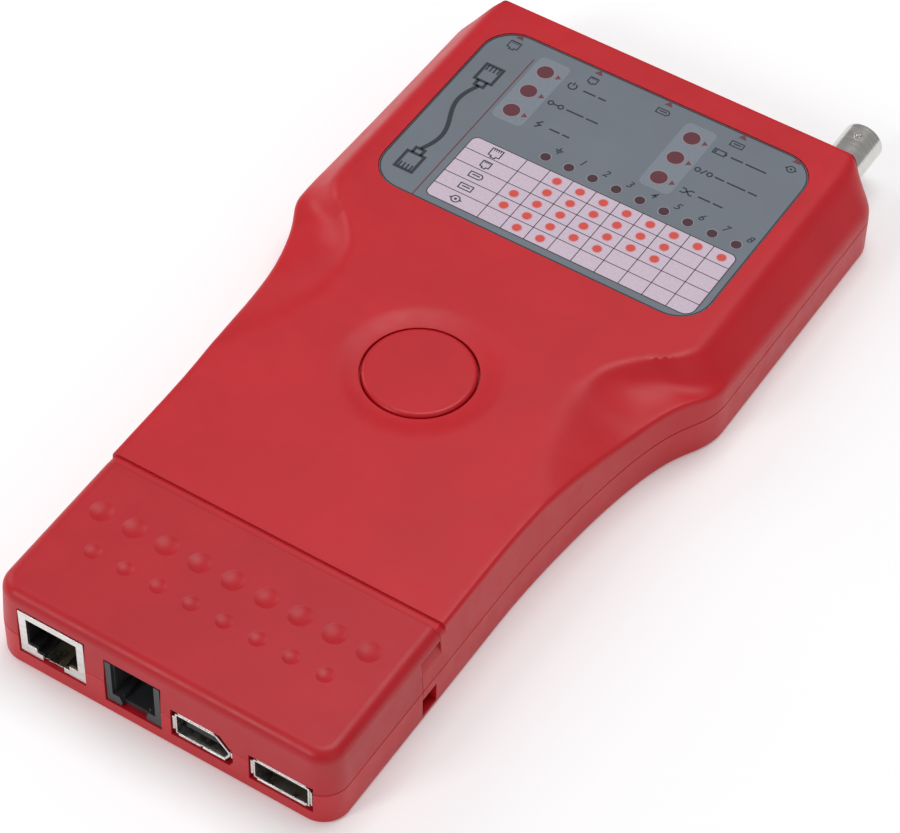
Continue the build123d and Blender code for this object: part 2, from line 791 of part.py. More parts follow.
with BuildPart() as remote_upper_shell:
    with BuildSketch(Plane.XY.offset(seam_z)):
        add(remote_outline(0, lip_end_d))
    with BuildSketch(Plane.XY.offset(top_z)):
        add(remote_outline(draft, lip_end_d + draft))
    loft()
    rim = remote_upper_shell.faces().sort_by(Axis.Z)[-1].edges()
    fillet(rim.filter_by(lambda edge: edge.center().Y < y_at(lip_end_d - 1)), rim_r)
    chamfer(remote_upper_shell.faces().sort_by(Axis.Z)[0].outer_wire().edges(), seam_bevel)
    # the top runs on past the split as a lip
    with BuildSketch(Plane.XY.offset(seam_z - 1)):
        with Locations((0, y_at(split_d - unit_gap) + 10)):
            Rectangle(100, 20)
    extrude(amount=lip_z - seam_z + 1, mode=Mode.SUBTRACT)
    with BuildSketch(Plane.XY.offset(seam_z)):
        add(remote_outline(wall))
    extrude(amount=top_z - wall - seam_z, mode=Mode.SUBTRACT)
    with BuildSketch(Plane.XY.offset(seam_z)):
        with Locations(spots_at(0, remote_screw_spots)):
            Circle(boss_r)
    extrude(amount=10.5)
    with BuildSketch(Plane.XY.offset(seam_z)):
        with Locations(spots_at(0, remote_screw_spots)):
            Circle(1.15)
    extrude(amount=5.5, mode=Mode.SUBTRACT)
    dimples(big_dimple_xs, 27.4, 5.2, 0.5)
    dimples(small_dimple_xs, 18.1, 3.8, 0.4)
    add(near_cutouts, mode=Mode.SUBTRACT)
save(remote_upper_shell, "remote_upper_shell")

with BuildPart() as remote_lower_shell:
    with BuildSketch():
        add(remote_outline())
    extrude(amount=seam_z)
    chamfer(remote_lower_shell.faces().sort_by(Axis.Z)[-1].outer_wire().edges(), seam_bevel)
    bottom_rim = remote_lower_shell.faces().sort_by(Axis.Z)[0].outer_wire().edges()
    fillet(bottom_rim.filter_by(lambda e: e.center().Y < y_at(31)), 0.8)
    with BuildSketch(Plane.XY.offset(floor)):
        add(remote_outline(wall))
    extrude(amount=seam_z, mode=Mode.SUBTRACT)
    with BuildSketch(Plane.XY.offset(floor - 0.5)):
        with Locations(spots_at(0, remote_screw_spots)):
            Circle(boss_r + 0.8)
    extrude(amount=seam_z - floor + 0.5)
    with Locations(spots_at(0, remote_screw_spots)):
        with Locations(Location((0, 0, 0), (180, 0, 0))):
            CounterBoreHole(radius=1.35, counter_bore_radius=2.9, counter_bore_depth=3.0, depth=12)
    # side hooks that slide into the main unit
    for side in (-1, 1):
        with BuildSketch(Plane.XY.offset(2.2)):
            with Locations((side * hook_x, y_at((31.0 + 36.8) / 2))):
                Rectangle(hook_thick, 36.8 - 31.0)
        extrude(amount=3.8)
    add(near_cutouts, mode=Mode.SUBTRACT)
save(remote_lower_shell, "remote_lower_shell")

with BuildPart() as remote_board:
    with BuildSketch(Plane.XY.offset(board_z)):
        with Locations((0, y_at(16.5))):
            Rectangle(64, 26)
    extrude(amount=board_thickness)
save(remote_board, "remote_board")

with BuildPart() as load_resistors:
    with BuildSketch(Plane.XY.offset(board_top)):
        with Locations((0, y_at(25.8))):
            with GridLocations(3.6, 1, 16, 1):
                Rectangle(1.6, 3.2)
    extrude(amount=0.6)
save(load_resistors, "load_resistors")


# ---- screws --------------------------------------------------------------
def build_screws(name, spots):
    with BuildPart() as screws:
        with BuildSketch(Plane.XY.offset(1.3)):
            with Locations(spots_at(0, spots)):
                Circle(2.6)
        extrude(amount=1.7)
        with BuildSketch(Plane.XY.offset(3.0)):
            with Locations(spots_at(0, spots)):
                Circle(1.05)
        extrude(amount=10)
        with BuildSketch(Plane.XY.offset(1.3)):
            with Locations(spots_at(0, spots)):
                Rectangle(3.0, 0.6)
                Rectangle(0.6, 3.0)
        extrude(amount=0.9, mode=Mode.SUBTRACT)
    save(screws, name)


build_screws("main_screws", main_screw_spots)
build_screws("remote_screws", remote_screw_spots)
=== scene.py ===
"""Looks of the cable tester: materials, soft upper skin, printed label, studio, camera.

Metres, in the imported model's frame: +Y runs from the remote unit's sockets to
the coaxial connector, +Z out of the label.  Shapes are worked out in millimetres,
where d is a distance along +Y from the near face.
"""
import math

import bmesh
import bpy
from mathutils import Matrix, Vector


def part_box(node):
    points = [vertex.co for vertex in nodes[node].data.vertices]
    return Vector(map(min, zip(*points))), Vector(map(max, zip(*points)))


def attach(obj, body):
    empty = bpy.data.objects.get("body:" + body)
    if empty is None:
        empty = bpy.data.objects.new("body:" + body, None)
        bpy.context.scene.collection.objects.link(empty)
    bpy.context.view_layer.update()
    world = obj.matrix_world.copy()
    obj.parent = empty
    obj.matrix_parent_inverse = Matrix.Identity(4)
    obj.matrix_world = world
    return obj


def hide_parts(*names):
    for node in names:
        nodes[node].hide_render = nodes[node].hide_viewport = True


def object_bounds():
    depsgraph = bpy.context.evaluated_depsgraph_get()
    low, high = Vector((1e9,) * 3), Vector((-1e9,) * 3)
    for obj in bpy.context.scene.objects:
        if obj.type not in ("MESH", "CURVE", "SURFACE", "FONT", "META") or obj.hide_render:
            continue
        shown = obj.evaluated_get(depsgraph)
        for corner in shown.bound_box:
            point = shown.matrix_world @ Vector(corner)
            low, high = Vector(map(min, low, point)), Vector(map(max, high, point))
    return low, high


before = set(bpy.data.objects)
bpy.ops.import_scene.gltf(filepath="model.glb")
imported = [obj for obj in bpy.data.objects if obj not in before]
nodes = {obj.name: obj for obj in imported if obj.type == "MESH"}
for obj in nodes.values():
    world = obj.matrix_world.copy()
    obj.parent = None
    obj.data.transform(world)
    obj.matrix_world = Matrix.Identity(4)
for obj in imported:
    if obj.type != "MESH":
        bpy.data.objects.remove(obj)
cad_low, cad_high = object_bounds()

MM = 0.001


def mm_box(node):
    """A node's lowest and highest corners, in millimetres."""
    return [Vector(corner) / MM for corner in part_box(node)]


def y_at(d):
    """Frame Y, in millimetres, of a distance from the near face."""
    return d + cad_low.y / MM


label_low, label_high = mm_box("label_plate")


# ---- materials -----------------------------------------------------------
# noise, in cycles per metre
mottle_scale, gloss_scale = 60, 240
plating_scale, scratch_scale = 300, 1500
ink_scale, screen_scale = 1800, 4000
bevel_samples = 6


def shader_of(name):
    """New node material; returns it with its Principled shader."""
    material = bpy.data.materials.new(name)
    material.use_nodes = True
    return material, material.node_tree.nodes["Principled BSDF"]


def noise(material, scale, detail=2.0, stretch=(1, 1, 1)):
    """Noise of so many cycles per metre in the object's own coordinates."""
    tree = material.node_tree
    place = tree.nodes.new("ShaderNodeTexCoord")
    mapping = tree.nodes.new("ShaderNodeMapping")
    mapping.inputs["Scale"].default_value = stretch
    texture = tree.nodes.new("ShaderNodeTexNoise")
    texture.inputs["Scale"].default_value = scale
    texture.inputs["Detail"].default_value = detail
    tree.links.new(place.outputs["Object"], mapping.inputs["Vector"])
    tree.links.new(mapping.outputs["Vector"], texture.inputs["Vector"])
    return texture


def ramp(material, source, low, high, start=0.3, end=0.7):
    """Colours (or greys) low to high over the middle of a noise."""
    node = material.node_tree.nodes.new("ShaderNodeValToRGB")
    node.color_ramp.elements[0].position = start
    node.color_ramp.elements[1].position = end
    node.color_ramp.elements[0].color = (*low, 1)
    node.color_ramp.elements[1].color = (*high, 1)
    material.node_tree.links.new(source.outputs["Fac"], node.inputs["Fac"])
    return node


def bump(material, shader, source, height, edge=0.0):
    """Bump of a height in metres, over edges rounded by edge metres."""
    tree = material.node_tree
    node = tree.nodes.new("ShaderNodeBump")
    node.inputs["Distance"].default_value = height
    tree.links.new(source.outputs["Fac"], node.inputs["Height"])
    tree.links.new(node.outputs["Normal"], shader.inputs["Normal"])
    if edge:
        rounding = tree.nodes.new("ShaderNodeBevel")
        rounding.samples = bevel_samples
        rounding.inputs["Radius"].default_value = edge
        tree.links.new(rounding.outputs["Normal"], node.inputs["Normal"])


def tint(color, factor):
    """A lighter or darker colour, by a factor."""
    return tuple(min(1.0, channel * factor) for channel in color)


def plastic(
    name, color, roughness, grain=2600, height=6e-6, edge=0.0, coat=0.0, specular=0.5
):
    """Moulded plastic: faint mottling, spark texture, uneven gloss."""
    material, shader = shader_of(name)
    links = material.node_tree.links
    mottle = noise(material, mottle_scale, 3.0)
    colour = ramp(material, mottle, tint(color, 0.95), tint(color, 1.05))
    links.new(colour.outputs["Color"], shader.inputs["Base Color"])
    gloss = noise(material, gloss_scale, 2.0)
    rough = ramp(material, gloss, (roughness * 0.9,) * 3, (roughness * 1.1,) * 3)
    links.new(rough.outputs["Color"], shader.inputs["Roughness"])
    bump(material, shader, noise(material, grain, 3.0), height, edge)
    shader.inputs["Specular IOR Level"].default_value = specular
    shader.inputs["Coat Weight"].default_value = coat
    return material


def metal(name, color, roughness, stretch=(1, 1, 1), height=2e-6, edge=0.0):
    """Plated metal: drawn or turned grain, and a slightly uneven sheen."""
    material, shader = shader_of(name)
    links = material.node_tree.links
    tone = noise(material, plating_scale, 3.0, stretch)
    colour = ramp(material, tone, tint(color, 0.88), tint(color, 1.06))
    links.new(colour.outputs["Color"], shader.inputs["Base Color"])
    rough = ramp(material, tone, (roughness * 0.8,) * 3, (roughness * 1.25,) * 3)
    links.new(rough.outputs["Color"], shader.inputs["Roughness"])
    bump(material, shader, noise(material, scratch_scale, 2.0, stretch), height, edge)
    shader.inputs["Metallic"].default_value = 1.0
    return material


def ink(name, color, roughness=0.5):
    """Screen print: a thin flat film, slightly uneven in tone."""
    material, shader = shader_of(name)
    links = material.node_tree.links
    tone = ramp(material, noise(material, ink_scale, 2.0), tint(color, 0.94), tint(color, 1.06))
    links.new(tone.outputs["Color"], shader.inputs["Base Color"])
    bump(material, shader, noise(material, screen_scale, 2.0), 2e-6)
    shader.inputs["Roughness"].default_value = roughness
    return material


red_plastic = plastic(
    "red_plastic", (0.535, 0.006, 0.014), 0.42, edge=0.00025, specular=0.42
)
# the same red plastic as the main unit, darkened: painted shade for the remote unit's top, which
# looks darker as lit
remote_red_painted_shade = plastic(
    "remote_red_painted_shade", (0.475, 0.005, 0.013), 0.42, edge=0.00025, specular=0.42
)
button_plastic = plastic(
    "button_plastic", (0.530, 0.006, 0.014), 0.36, edge=0.0002, specular=0.42
)
label_film = plastic("label_film", (0.150, 0.172, 0.205), 0.5, grain=1800, height=8e-6)
port_black = plastic("port_black", (0.012, 0.012, 0.014), 0.4, edge=0.0001)
jack_grey = plastic("jack_grey", (0.030, 0.033, 0.037), 0.38, edge=0.0001)
chip_black = plastic("chip_black", (0.020, 0.020, 0.022), 0.55)
board_green = plastic("board_green", (0.015, 0.130, 0.050), 0.35, grain=900, height=1e-5)
insulator_white = plastic("insulator_white", (0.75, 0.74, 0.70), 0.4)
vinyl_black = plastic("vinyl_black", (0.015, 0.015, 0.016), 0.5)
vinyl_red = plastic("vinyl_red", (0.45, 0.015, 0.015), 0.5)
battery_paint = plastic("battery_paint", (0.05, 0.06, 0.075), 0.3)
led_lens = plastic("led_lens", (0.16, 0.02, 0.03), 0.15)
tin = metal("tin", (0.80, 0.79, 0.77), 0.28, stretch=(1, 1, 6), edge=0.0001)
nickel = metal("nickel", (0.70, 0.68, 0.65), 0.2, stretch=(1, 12, 1), edge=0.0002)
zinc = metal("zinc", (0.50, 0.50, 0.51), 0.35, edge=0.0001)
gold = metal("gold", (0.83, 0.62, 0.26), 0.25, edge=0.00005)

ink_dark = ink("ink_dark", (0.017, 0.025, 0.037))
ink_line = ink("ink_line", (0.050, 0.030, 0.045))
ink_pale = ink("ink_pale", (0.600, 0.490, 0.590))
ink_dot = ink("ink_dot", (0.660, 0.068, 0.045))
ink_halo = ink("ink_halo", (0.640, 0.330, 0.400))
ink_band = ink("ink_band", (0.195, 0.222, 0.262))
ink_rim = ink("ink_rim", (0.270, 0.240, 0.270))
ink_maroon = ink("ink_maroon", (0.150, 0.035, 0.045))
window_red = plastic("window_red", (0.125, 0.030, 0.042), 0.22, grain=900, coat=0.3)
window_dark = plastic("window_dark", (0.060, 0.024, 0.034), 0.22, grain=900, coat=0.3)

finish_of = {
    "main_upper_shell": red_plastic,
    "main_lower_shell": red_plastic,
    "battery_door": red_plastic,
    # painted shade: a darker copy of the red plastic on the remote unit's top
    "remote_upper_shell": remote_red_painted_shade,
    "remote_lower_shell": red_plastic,
    "test_button": button_plastic,
    "label_plate": label_film,
    "coax_body": nickel,
    "coax_nut": nickel,
    "coax_contact": gold,
    "coax_insulator": insulator_white,
    "main_board": board_green,
    "display_board": board_green,
    "remote_board": board_green,
    "mode_leds": led_lens,
    "wire_leds": led_lens,
    "main_screws": zinc,
    "remote_screws": zinc,
    "battery_9v": battery_paint,
    "battery_snap": vinyl_black,
    "battery_lead_black": vinyl_black,
    "battery_lead_red": vinyl_red,
    "board_headers": chip_black,
    "controller_chip": chip_black,
    "driver_chips": chip_black,
    "load_resistors": chip_black,
    "switch_base": chip_black,
    "switch_plunger": chip_black,
}
for end in ("near", "far"):
    finish_of[f"{end}_rj45_shield"] = tin
    finish_of[f"{end}_usb_shell"] = tin
    finish_of[f"{end}_firewire_shell"] = tin
    finish_of[f"{end}_rj45_insert"] = port_black
    finish_of[f"{end}_rj11_housing"] = jack_grey
    finish_of[f"{end}_usb_tongue"] = port_black
    finish_of[f"{end}_firewire_tongue"] = port_black
    for port in ("rj45", "rj11", "usb", "firewire"):
        finish_of[f"{end}_{port}_contacts"] = gold

for name, node in nodes.items():
    node.data.materials.clear()
    node.data.materials.append(finish_of[name])


# ---- main upper shell, with its soft scoops and flanks --------------------
top_z = cad_high.z / MM
seam_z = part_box("remote_upper_shell")[0].z / MM


def smooth(table, d):
    """Smooth monotone curve through (distance, value) pairs."""
    if d <= table[0][0]:
        return table[0][1]
    if d >= table[-1][0]:
        return table[-1][1]
    slopes = [(b[1] - a[1]) / (b[0] - a[0]) for a, b in zip(table, table[1:])]
    inner = [0 if a * b <= 0 else 2 * a * b / (a + b) for a, b in zip(slopes, slopes[1:])]
    tangents = [0, *inner, 0]
    index = max(i for i, (place, _) in enumerate(table) if place <= d)
    (d0, v0), (d1, v1) = table[index], table[index + 1]
    span = d1 - d0
    t = (d - d0) / span
    ease = 3 * t**2 - 2 * t**3
    bend = (t**3 - 2 * t**2 + t) * tangents[index] + (t**3 - t**2) * tangents[index + 1]
    return v0 + (v1 - v0) * ease + span * bend


# against distance from the near end: where the side relief starts, how high
# the rim of the side wall is, how hollow the relief is and how soft its start
knee_line = (
    (60, 45), (75, 41.5), (83, 37.7), (97, 32), (108.5, 30.6), (115, 31.8),
    (119, 34.3), (123, 38.1), (126.5, 42.8), (132, 46.2), (140, 46.6),
)
rim_line = (
    (60, 21.3), (75, 21.1), (82, 20.6), (95.6, 18.4), (106.8, 16.9), (120, 16.7),
    (125, 15.9), (130, 14.7), (150, 13.5), (185, 12.5), (206, 12.2),
)
hollow_line = ((90, 1.0), (108, 1.5), (117, 2.6), (122, 2.6), (128, 1.6), (135, 1.05))
soft_line = ((60, 2.0), (105, 1.8), (114, 0.5), (127, 0.5), (136, 1.3))
wall_lean = 0.06            # how far the walls lean in per millimetre of height
rim_round = 1.2
body_end, far_corner = 200.5, 7.8
head_start = 131.0          # the shoulders end here, at the head's full width
seam_bevel = 0.2

# the near end: a lip under the remote unit, then a sunken strip, then the deck
skin_start, lip_end, deck_start = 32.4, 39.35, 41.3
lip_floor, strip_floor = 18.25, top_z - 0.7
riser = 0.02                # length of the steep step between two levels
# the top's far edge, rounded over: (distance from the end, drop)
end_rounding = ((0.06, 0.12), (0.02, 0.3), (0.0, 0.55))

# the lower shell's upper rim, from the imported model: (distance, half width)
rim_points = sorted(
    (vertex.co.y / MM - y_at(0), vertex.co.x / MM)
    for vertex in nodes["main_lower_shell"].data.vertices
    if vertex.co.x > 0.04
    and vertex.co.y / MM < y_at(head_start + 0.1)
    and abs(vertex.co.z / MM - seam_z + seam_bevel) < 0.02
)
head_half = rim_points[-1][1]


def wall_x(d):
    """Half width of the main unit at its seam."""
    corner_start = body_end - far_corner
    if d > corner_start:
        return head_half - far_corner + math.sqrt(max(0, far_corner**2 - (d - corner_start) ** 2))
    for (d0, x0), (d1, x1) in zip(rim_points, rim_points[1:]):
        if d0 <= d <= d1:
            return x0 + (x1 - x0) * (d - d0) / max(0.001, d1 - d0)
    return head_half if d > head_start else rim_points[0][1]


button_low, button_high = mm_box("test_button")
button_y = (button_low.y + button_high.y) / 2
button_hole_r = 12.75
dish_depth, dish_inner_r, dish_outer_r = 0.75, 12.8, 18.2
narrowest_relief = 2.0


def soft_start(reach, soft):
    """Near 0 below 0, and reach above it, with a bend of the given softness."""
    straight = 30 * soft
    return reach if reach >= straight else math.log1p(math.exp(reach / soft)) * soft


def surface_z(x, d, rim_x):
    """Height of the top at (x, d), where the wall's upper edge is at rim_x."""
    knee = smooth(knee_line, d)
    share = soft_start(x - knee, smooth(soft_line, d) / 2) / max(rim_x - knee, narrowest_relief)
    shape = 1 - (1 - min(share, 1)) ** smooth(hollow_line, d)
    far = math.hypot(x, y_at(d) - button_y)
    ring = min(1, max(0, (dish_outer_r - far) / (dish_outer_r - dish_inner_r)))
    return top_z - (top_z - smooth(rim_line, d)) * shape - dish_depth * (3 * ring**2 - 2 * ring**3)


def half_section(d, cap, count=44, turns=6):
    """Points (x, z) from the middle of the top, over the rim and down to the seam."""
    seam_x = wall_x(d)
    rim_x = seam_x - wall_lean * (smooth(rim_line, d) - seam_z)
    inner_x = rim_x - rim_round
    points = []
    for index in range(count + 1):
        x = inner_x * index / count
        points.append((x, min(cap, surface_z(x, d, rim_x))))
    corner_z = min(cap, 2 * points[-1][1] - surface_z(inner_x - rim_round, d, rim_x))
    corner = Vector((seam_x - wall_lean * (corner_z - seam_z), corner_z))
    first, last = Vector(points[-1]), corner + Vector((wall_lean * rim_round, -rim_round))
    for index in range(1, turns + 1):
        t = index / turns
        point = first * (1 - t) ** 2 + corner * 2 * t * (1 - t) + last * t**2
        points.append(tuple(point))
    points.append((seam_x - wall_lean * seam_bevel, seam_z + seam_bevel))
    points.append((seam_x - seam_bevel, seam_z))
    return points


def add_skin(name, mesh, material, body, replaced):
    """Shows a mesh in place of a CAD node: smooth faces, sharp creases, finish, body."""
    mesh.shade_smooth()
    mesh.set_sharp_from_angle(angle=math.radians(28))
    mesh.materials.clear()
    mesh.materials.append(material)
    piece = bpy.data.objects.new(name, mesh)
    bpy.context.scene.collection.objects.link(piece)
    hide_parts(replaced)
    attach(piece, body)


def prism(outline, low, high):
    """Closed mesh: an outline of (x, y) points between two heights."""
    mesh = bpy.data.meshes.new("prism")
    count = len(outline)
    points = [(x * MM, y * MM, z * MM) for z in (low, high) for x, y in outline]
    sides = [(i, (i + 1) % count, (i + 1) % count + count, i + count) for i in range(count)]
    ends = [tuple(reversed(range(count))), tuple(range(count, 2 * count))]
    mesh.from_pydata(points, [], [*ends, *sides])
    return mesh


def carved(mesh, cutters):
    """The mesh with each cutter mesh taken away from it."""
    target = bpy.data.objects.new("target", mesh)
    bpy.context.scene.collection.objects.link(target)
    for cutter_mesh in cutters:
        cutter = bpy.data.objects.new("cutter", cutter_mesh)
        bpy.context.scene.collection.objects.link(cutter)
        modifier = target.modifiers.new("cut", "BOOLEAN")
        modifier.operation = "DIFFERENCE"
        modifier.solver = "EXACT"
        modifier.object = cutter
        result = bpy.data.meshes.new_from_object(
            target.evaluated_get(bpy.context.evaluated_depsgraph_get())
        )
        target.modifiers.clear()
        target.data = result
        bpy.data.objects.remove(cutter)
    result = target.data
    bpy.data.objects.remove(target)
    return result


def circle(x, y, radius, count=32):
    """Points round a circle."""
    turn = 2 * math.pi / count
    return [(x + radius * math.cos(turn * i), y + radius * math.sin(turn * i)) for i in range(count)]


def arc(x, y, radius, start, end, count=14):
    """Points along an arc, angles in degrees."""
    angles = [math.radians(start + (end - start) * i / count) for i in range(count + 1)]
    return [(x + radius * math.cos(angle), y + radius * math.sin(angle)) for angle in angles]


def rectangle(x0, y0, x1, y1, radii=(0, 0, 0, 0)):
    """Rectangle with its own radius at each corner, from lower left, anticlockwise."""
    # each corner, the way in from it, and the angle where its arc starts
    corners = (
        (x0, y0, 1, 1, 180),
        (x1, y0, -1, 1, 270),
        (x1, y1, -1, -1, 0),
        (x0, y1, 1, -1, 90),
    )
    points = []
    for (x, y, to_x, to_y, start), radius in zip(corners, radii):
        if radius:
            points += arc(x + to_x * radius, y + to_y * radius, radius, start, start + 90, 8)
        else:
            points.append((x, y))
    return points


def skin_rows():
    """Where the skin's sections stand: (distance, greatest height) pairs."""
    rows = [(skin_start, lip_floor), (lip_end - riser, lip_floor), (lip_end, strip_floor)]
    rows += [(deck_start - riser, strip_floor), (deck_start, top_z)]
    plain_rows = [44 + 3 * i for i in range(6)]
    relief_rows = [61 + 1.25 * i for i in range(66)]
    head_rows = [146 + 6 * i for i in range(8)]
    corner_start = body_end - far_corner
    corner_rows = [corner_start + far_corner * math.sin(math.radians(9 * i)) for i in range(9)]
    rows += [(d, top_z) for d in plain_rows + relief_rows + head_rows + corner_rows]
    return rows + [(body_end - inset, top_z - drop) for inset, drop in end_rounding]


def main_skin_mesh():
    """Closed mesh of the upper shell's outside: rows of sections along its length."""
    rows = skin_rows()
    points, faces = [], []
    for d, cap in rows:
        half = half_section(d, cap)
        section = [(-x, z) for x, z in reversed(half[1:])] + half
        points += [(x * MM, y_at(d) * MM, z * MM) for x, z in section]
    width = len(points) // len(rows)
    for row in range(len(rows) - 1):
        start = row * width
        for column in range(width - 1):
            a = start + column
            faces.append((a, a + 1, a + 1 + width, a + width))
        faces.append((start + width - 1, start, start + width, start + 2 * width - 1))
    faces.append(tuple(reversed(range(width))))
    faces.append(tuple(range((len(rows) - 1) * width, len(rows) * width)))
    mesh = bpy.data.meshes.new("main_skin")
    mesh.from_pydata(points, [], faces)
    return mesh


def port_cutter(node, gap=0.3, reach=6.0):
    """Block around a far socket, long enough to go through the end wall."""
    low, high = mm_box(node)
    end_y = y_at(body_end)
    outline = rectangle(low.x - gap, end_y - reach, high.x + gap, end_y + reach)
    return prism(outline, low.z - gap, high.z + gap)


def coax_cutter(radius, outside=3.0, inside=9.0):
    """Round bar on the coaxial connector's axis, through the end wall."""
    low, high = mm_box("coax_insulator")
    axis_x, axis_z = (low.x + high.x) / 2, (low.z + high.z) / 2
    upright = circle(axis_x, axis_z, radius, 48)
    bar = prism(upright, -y_at(body_end + outside), -y_at(body_end - inside))
    for vertex in bar.vertices:
        x, height, along = vertex.co
        vertex.co = (x, -along, height)
    bar.flip_normals()
    return bar


past = 2.0                  # how far a cutter reaches past the face that it opens
top_wall = 2.0
label_gap, label_pocket_r = 0.15, 8.0
button_hole_floor = 15
coax_hole_r = 4.95
# the hollow inside, as (half width, distance)
half_cavity = [(38.6, 43.5), (38.6, 66), (30.5, 84), (30.5, 124), (44.3, 140), (44.3, 198.5)]
cavity = [(x, y_at(d)) for x, d in half_cavity] + [(-x, y_at(d)) for x, d in reversed(half_cavity)]
label_pocket = rectangle(
    label_low.x - label_gap, label_low.y - label_gap,
    label_high.x + label_gap, label_high.y + label_gap, (label_pocket_r,) * 4,
)
skin_cutters = [
    prism(cavity, seam_z - past, top_z - top_wall),
    prism(label_pocket, label_low.z, top_z + past),
    prism(circle(0, button_y, button_hole_r, 96), button_hole_floor, top_z + past),
    coax_cutter(coax_hole_r),
]
for port in ("rj45_shield", "rj11_housing", "firewire_shell", "usb_shell"):
    skin_cutters.append(port_cutter(f"far_{port}"))
skin_mesh = carved(main_skin_mesh(), skin_cutters)
add_skin("main_upper_skin", skin_mesh, red_plastic, "main", "main_upper_shell")


# ---- printed label -------------------------------------------------------
film_top = label_high.z
ink_step = 0.02             # height from one layer of print to the next
film_share = 0.9            # how much of that height the print fills


def print_piece(name, loops, layer, material):
    """Flat pieces of print: each loop a list of (x, y), layer counted up from the film."""
    mesh = bpy.data.meshes.new(name)
    shape = bmesh.new()
    height = (film_top + (layer + 1) * ink_step) * MM
    for loop in loops:
        corners = [shape.verts.new((x * MM, y * MM, height)) for x, y in loop]
        shape.faces.new(corners)
    bmesh.ops.recalc_face_normals(shape, faces=shape.faces)
    for face in shape.faces:
        if face.normal.z < 0:
            face.normal_flip()
    shape.to_mesh(mesh)
    shape.free()
    piece = bpy.data.objects.new(name, mesh)
    bpy.context.scene.collection.objects.link(piece)
    thicken = piece.modifiers.new("film", "SOLIDIFY")
    thicken.thickness = ink_step * film_share * MM
    thicken.offset = -1
    mesh.materials.append(material)
    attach(piece, "main")


def ribbon(points, width, closed=False):
    """Quads of a line of constant width through points, mitred at the corners."""
    count = len(points)
    least_mitre = 0.5
    sides = []
    for i in range(count):
        before = points[i - 1] if closed or i else None
        after = points[(i + 1) % count] if closed or i < count - 1 else None
        here = Vector(points[i])
        second = (Vector(after) - here).normalized() if after else None
        first = (here - Vector(before)).normalized() if before else second
        second = second or first
        middle = (first + second).normalized()
        normal = Vector((-middle.y, middle.x))
        reach = width / 2 / max(least_mitre, middle.dot(first))
        sides.append((here + normal * reach, here - normal * reach))
    quads = []
    for i in range(count if closed else count - 1):
        (left, right), (next_left, next_right) = sides[i], sides[(i + 1) % count]
        quads.append([tuple(left), tuple(right), tuple(next_right), tuple(next_left)])
    return quads


def moved(loops, x, y, scale=1.0, turn=0.0):
    """Loops scaled, turned by degrees and moved to (x, y)."""
    cos = math.cos(math.radians(turn)) * scale
    sin = math.sin(math.radians(turn)) * scale
    return [
        [(x + px * cos - py * sin, y + px * sin + py * cos) for px, py in loop]
        for loop in loops
    ]


def discs(spots, radius, count=32):
    """A circle at each spot."""
    return [circle(x, y, radius, count) for x, y in spots]


# the lights: two columns for the modes, and one row for the wires
mode_xs = (-25.05, 13.05)
mode_ds = (185.2, 178.0, 170.75)
wire_xs = [-11.0 + 6.04 * index for index in range(9)]
wire_d = 162.4
mode_spots = [(x, y_at(d)) for x in mode_xs for d in mode_ds]
wire_spots = [(x, y_at(wire_d)) for x in wire_xs]

# light-grey bands behind the two columns of mode lights
band_left, band_right, band_r = 3.4, 4.6, 1.5
band_near, band_far = y_at(167.0), y_at(189.4)
bands = [
    rectangle(x - band_left, band_near, x + band_right, band_far, (band_r,) * 4)
    for x in mode_xs
]
print_piece("label_bands", bands, 0, ink_band)

# table of the pairs that each socket uses
table_left, table_top = -27.5, 159.43
name_width, column, row = 13.65, 5.93, 4.17
columns, rows = 9, 5
table_right = table_left + name_width + columns * column
table_bottom = table_top - rows * row
table_radii = (1.6, 2.6, 1.6, 1.6)
frame_width, rule_width = 0.22, 0.2
table_shape = rectangle(
    table_left, y_at(table_bottom), table_right, y_at(table_top), table_radii
)
print_piece("table_ground", [table_shape], 0, ink_pale)
rules = ribbon(table_shape, frame_width, closed=True)
for index in range(1, rows):
    y = y_at(table_top - index * row)
    rules += ribbon([(table_left, y), (table_right, y)], rule_width)
for index in range(columns):
    x = table_left + name_width + index * column
    rules += ribbon([(x, y_at(table_bottom)), (x, y_at(table_top))], rule_width)
print_piece("table_rules", rules, 1, ink_line)

# the columns that each row marks with a dot
dot_r, halo_r = 1.02, 1.25
used_columns = (range(1, 9), range(1, 7), range(0, 7), range(0, 5), range(1, 3))
dot_places = [
    (table_left + name_width + (c + 0.5) * column, y_at(table_top - (r + 0.5) * row))
    for r, used in enumerate(used_columns)
    for c in used
]
print_piece("table_dot_halos", discs(dot_places, halo_r, 24), 1, ink_halo)
print_piece("table_dots", discs(dot_places, dot_r, 24), 2, ink_dot)

# dark-red rule beside the table, and the pointers at lights and sockets
side_rule_x, side_rule_width = -29.4, 0.28
side_rule_ends = (136.5, 187.3)
pointer_start, pointer_tip, pointer_half = 2.9, 4.1, 0.8
marker_base, marker_tip, marker_half = y_at(191.2), y_at(192.7), 1.0
socket_xs = (-35.6, -14.7, 3.5, 22.5, 36.1)
pointers = ribbon([(side_rule_x, y_at(d)) for d in side_rule_ends], side_rule_width)
for x, y in mode_spots:
    left, right = x + pointer_start, x + pointer_tip
    pointers.append([(left, y - pointer_half), (right, y), (left, y + pointer_half)])
for x in socket_xs:
    pointers.append([(x - marker_half, marker_base), (x + marker_half, marker_base), (x, marker_tip)])
print_piece("label_pointers", pointers, 1, ink_maroon)

# windows over the lights, each with a paler rim
mode_r, mode_rim_r = 1.95, 2.25
wire_r, wire_rim_r = 1.18, 1.42
rims = discs(mode_spots, mode_rim_r) + discs(wire_spots, wire_rim_r)
print_piece("window_rims", rims, 1, ink_rim)
print_piece("mode_windows", discs(mode_spots, mode_r), 2, window_red)
print_piece("wire_windows", discs(wire_spots, wire_r), 2, window_dark)


